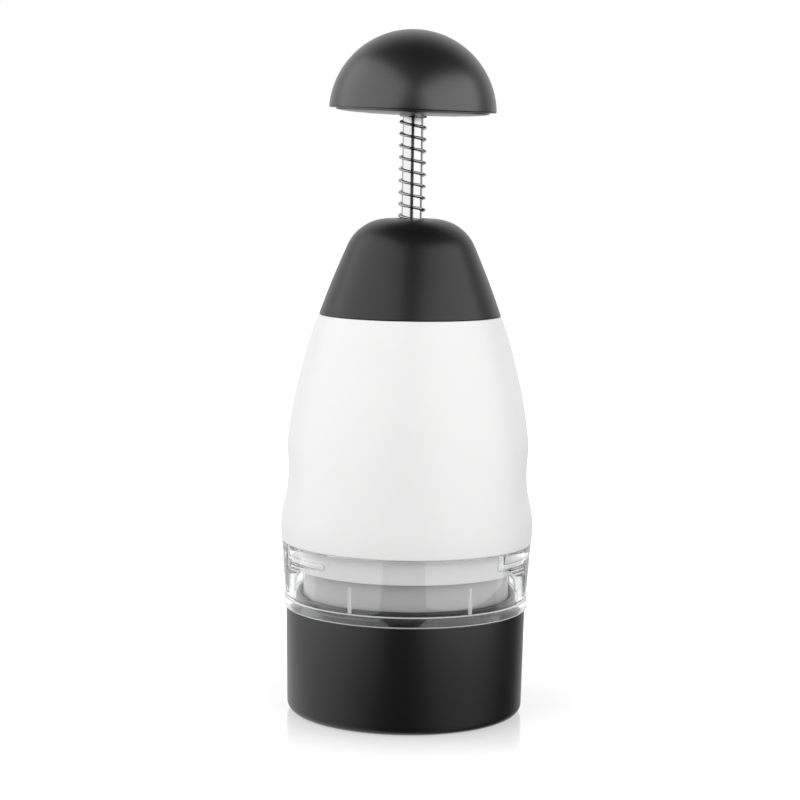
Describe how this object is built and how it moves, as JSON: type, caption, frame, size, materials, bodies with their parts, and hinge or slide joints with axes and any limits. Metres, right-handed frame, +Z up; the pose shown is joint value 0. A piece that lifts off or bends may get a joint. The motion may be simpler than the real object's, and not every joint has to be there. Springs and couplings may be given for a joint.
{
  "type": "plunger food chopper",
  "caption": "Hand food chopper: domed push knob on a sprung steel rod drives a turning zigzag blade through a clear ring into a cup.",
  "frame": {"origin": "middle of the cup's underside, on the surface the chopper stands on", "axes": "+Z up along the rod, -Y towards the front, +X to the right seen from the front"},
  "size_m": [0.0892, 0.0892, 0.24],
  "materials": {
    "black_plastic": "smooth satin gloss, black",
    "white_plastic": "smooth satin gloss, white",
    "clear_plastic": "clear, polished",
    "inner_plastic": "fine matt, off-white",
    "polished_steel": "polished",
    "steel": "plain bright steel",
    "spring_steel": "bright drawn wire",
    "blade_steel": "satin strip with a ground edge",
    "rubber": "matt"
  },
  "bodies": {
    "cup": {"base_cup": "black_plastic"},
    "chamber": {"clear_chamber": "clear_plastic"},
    "housing": {"front_grip_shell": "white_plastic", "rear_grip_shell": "white_plastic", "front_hinge_pin": "steel", "rear_hinge_pin": "steel", "shoulder_cover": "black_plastic", "top_frame": "inner_plastic", "cover_screws": "steel", "guide_bush": "inner_plastic", "lower_spring_seat": "steel", "cam_sleeve": "inner_plastic", "guide_cap": "inner_plastic"},
    "spring_head": {"upper_spring_washer": "steel", "return_spring": "spring_steel"},
    "knob": {"knob_shell": "black_plastic", "knob_underplate": "black_plastic", "underplate_screws": "steel"},
    "rotor": {"plunger_rod": "polished_steel", "rod_top_washer": "steel", "rod_top_screw": "steel", "follower_pin": "steel", "stop_clip": "steel", "bump_washer": "rubber", "blade_carrier": "inner_plastic", "carrier_pin": "steel", "zigzag_blade": "blade_steel"}
  },
  "joints": [
    {"name": "cup_release", "type": "slide", "parent": "cup", "child": "chamber", "axis": [0, 0, 1], "range_m": [0, 0.045]},
    {"name": "chamber_twist", "type": "hinge", "parent": "chamber", "child": "housing", "pos_m": [0, 0, 0.0565], "axis": [0, 0, -1], "range_deg": [0, 30]},
    {"name": "plunger_press", "type": "slide", "parent": "housing", "child": "spring_head", "axis": [0, 0, -1], "range_m": [0, 0.034], "stiffness_N_per_m": 840, "springref_m": -0.012, "deforming": ["return_spring"]},
    {"name": "knob_swivel", "type": "hinge", "parent": "spring_head", "child": "knob", "pos_m": [0, 0, 0.2125], "axis": [0, 0, 1], "continuous": true},
    {"name": "blade_turn", "type": "hinge", "parent": "spring_head", "child": "rotor", "pos_m": [0, 0, 0.0565], "axis": [0, 0, 1], "range_deg": [0, 30.5]}
  ],
  "couplings": [
    {"joint": "blade_turn", "follows": "plunger_press", "rad_per_m": 15.4}
  ]
}
